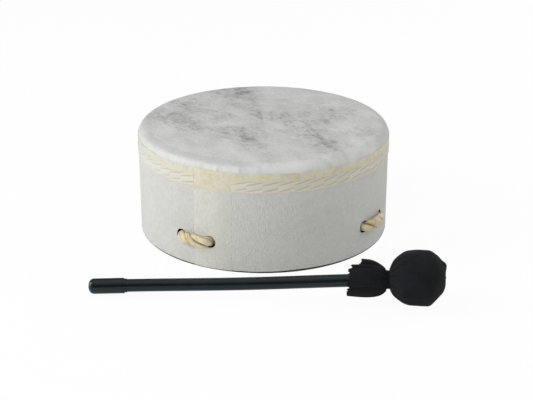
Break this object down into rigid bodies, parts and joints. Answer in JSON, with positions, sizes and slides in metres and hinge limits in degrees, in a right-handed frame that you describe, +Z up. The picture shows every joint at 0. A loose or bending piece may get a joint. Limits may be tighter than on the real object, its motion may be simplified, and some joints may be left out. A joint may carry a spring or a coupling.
{
  "type": "buffalo drum",
  "caption": "Shallow round frame drum with a film head on a fabric-covered fibre shell, a rope grip inside, and a soft padded mallet lying in front.",
  "frame": {"origin": "on the floor under the middle of the outline of the drum and its mallet", "axes": "+Z up through the playing surface, -Y towards the mallet and the front, +X towards the mallet's head"},
  "size_m": [0.2631, 0.2769, 0.0889],
  "materials": {
    "shell_fibre": "pressed wood fibre, dark brown, matt",
    "head_film": "pale grey film with cloudy streaks, satin",
    "wrap_fabric": "fine off-white fibrous fabric",
    "tan_tape": "plain tan tape",
    "trim_weave": "woven band with short dashes in rows",
    "strip_fabric": "cream lap of the shell fabric",
    "rope_fibre": "loosely laid natural fibre rope",
    "lashing_cord": "natural fibre cord",
    "rod_black": "black glass-fibre rod, satin gloss",
    "cap_rubber": "black moulded cap, soft sheen",
    "core_rubber": "firm black ball",
    "padding_felt": "soft felt layer",
    "cover_cloth": "black brushed fleece",
    "tie_thread": "black waxed thread"
  },
  "bodies": {
    "drum": {"shell": "shell_fibre", "drumhead": "head_film", "shell_wrap": "wrap_fabric", "edge_tape": "tan_tape", "woven_trim": "trim_weave", "seam_strip": "strip_fabric", "rope_loop_lower": "rope_fibre", "rope_loop_upper": "rope_fibre", "grip_lashing": "lashing_cord"},
    "mallet": {"mallet_rod": "rod_black", "mallet_end_cap": "cap_rubber", "mallet_core": "core_rubber", "mallet_padding": "padding_felt", "mallet_cover": "cover_cloth", "mallet_tie": "tie_thread"}
  },
  "joints": [
    {"name": "mallet_lift", "type": "slide", "parent": "drum", "child": "mallet", "axis": [0, 0, 1], "range_m": [0, 0.15]}
  ]
}
